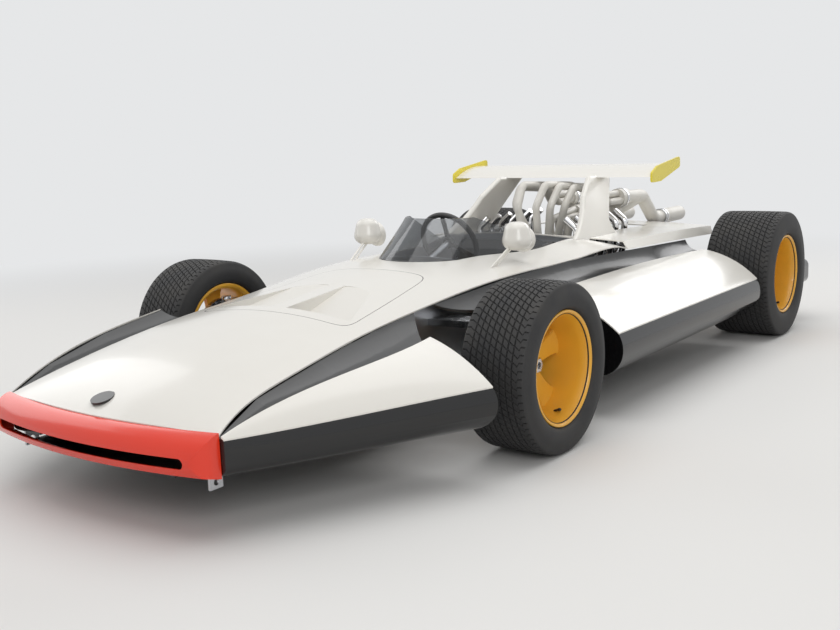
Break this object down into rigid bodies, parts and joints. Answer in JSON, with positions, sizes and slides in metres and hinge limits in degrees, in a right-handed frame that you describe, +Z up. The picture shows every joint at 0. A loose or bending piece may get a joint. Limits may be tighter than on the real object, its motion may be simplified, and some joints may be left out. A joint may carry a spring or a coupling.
{
  "type": "racing car",
  "caption": "Open-wheel single-seat racing car with wedge nose, side pods, rear wing on pylons, steering front wheels and free-turning wheels",
  "frame": {"origin": "On the ground below the middle of the car's overall length and width", "axes": "+X is the car's left, -Y is forward (the nose), +Z is up"},
  "size_m": [1.988, 4.3293, 0.9659],
  "materials": {
    "white_body": "glossy white paint",
    "red_band": "glossy red paint",
    "black_bumper": "glossy black",
    "dark_trough": "satin near-black",
    "plain_plug": "satin black",
    "bare_aluminium": "satin",
    "cast_alloy": "sand cast",
    "radiator_core": "matt black fins",
    "black_cover": "crackle black",
    "smoked_screen": "clear, slightly smoked",
    "yellow_wheel": "satin yellow-orange paint",
    "tread_rubber": "black rubber",
    "steel": "polished",
    "pipe_coat": "pale heat-proof coat",
    "bright_pipe": "polished",
    "seat_cover": "black",
    "wheel_grip": "black",
    "lamp_red": "red lens"
  },
  "bodies": {
    "chassis": {"cam_covers": "black_cover", "cockpit_surround": "white_body", "engine": "cast_alloy", "exhausts": "pipe_coat", "fender_left": "white_body", "fender_right": "white_body", "front_body": "white_body", "front_bumpers": "black_bumper", "front_lugs": "bare_aluminium", "front_suspension": "steel", "gearbox": "cast_alloy", "intakes": "bright_pipe", "mirrors": "white_body", "nose_band": "red_band", "nose_cap": "plain_plug", "pod_bumpers": "black_bumper", "pylons": "white_body", "rack_housing": "steel", "radiator": "radiator_core", "rear_bumper": "black_bumper", "rear_deck": "white_body", "rear_suspension": "steel", "seat": "seat_cover", "side_pod_left": "white_body", "side_pod_right": "white_body", "side_troughs": "dark_trough", "tail_lamps": "lamp_red", "tailpipes": "bright_pipe", "tub": "bare_aluminium", "undertray": "dark_trough", "windscreen": "smoked_screen", "wing": "white_body", "wing_plates": "yellow_wheel"},
    "steer_left": {"front_upright_left": "steel"},
    "front_wheel_left": {"front_tyre_left": "tread_rubber", "front_rim_left": "yellow_wheel", "front_hub_left": "steel"},
    "rear_wheel_left": {"rear_tyre_left": "tread_rubber", "rear_rim_left": "yellow_wheel", "rear_hub_left": "steel"},
    "steer_right": {"front_upright_right": "steel"},
    "front_wheel_right": {"front_tyre_right": "tread_rubber", "front_rim_right": "yellow_wheel", "front_hub_right": "steel"},
    "rear_wheel_right": {"rear_tyre_right": "tread_rubber", "rear_rim_right": "yellow_wheel", "rear_hub_right": "steel"},
    "steering": {"steering_wheel": "wheel_grip", "steering_column": "steel"},
    "rack": {"steering_rack": "steel"}
  },
  "joints": [
    {"name": "steer_left", "type": "hinge", "parent": "chassis", "child": "steer_left", "pos_m": [0.715, -0.835, 0.305], "axis": [0, 0, 1], "range_deg": [-14, 14]},
    {"name": "steer_right", "type": "hinge", "parent": "chassis", "child": "steer_right", "pos_m": [-0.715, -0.835, 0.305], "axis": [0, 0, 1], "range_deg": [-14, 14]},
    {"name": "front_spin_left", "type": "hinge", "parent": "steer_left", "child": "front_wheel_left", "pos_m": [0.839, -0.835, 0.305], "axis": [1, 0, 0], "continuous": true},
    {"name": "rear_spin_left", "type": "hinge", "parent": "chassis", "child": "rear_wheel_left", "pos_m": [0.82, 1.565, 0.328], "axis": [1, 0, 0], "continuous": true},
    {"name": "front_spin_right", "type": "hinge", "parent": "steer_right", "child": "front_wheel_right", "pos_m": [-0.839, -0.835, 0.305], "axis": [1, 0, 0], "continuous": true},
    {"name": "rear_spin_right", "type": "hinge", "parent": "chassis", "child": "rear_wheel_right", "pos_m": [-0.82, 1.565, 0.328], "axis": [1, 0, 0], "continuous": true},
    {"name": "steering_turn", "type": "hinge", "parent": "chassis", "child": "steering", "pos_m": [0, -0.135, 0.64], "axis": [0, 0.9272, 0.3746], "range_deg": [-98.5, 98.5]},
    {"name": "rack_slide", "type": "slide", "parent": "chassis", "child": "rack", "axis": [1, 0, 0], "range_m": [-0.0295, 0.0295]}
  ],
  "couplings": [
    {"joint": "steer_right", "follows": "steer_left", "ratio": 1},
    {"joint": "steering_turn", "follows": "steer_left", "ratio": 7},
    {"joint": "rack_slide", "follows": "steer_left", "m_per_rad": 0.12}
  ]
}
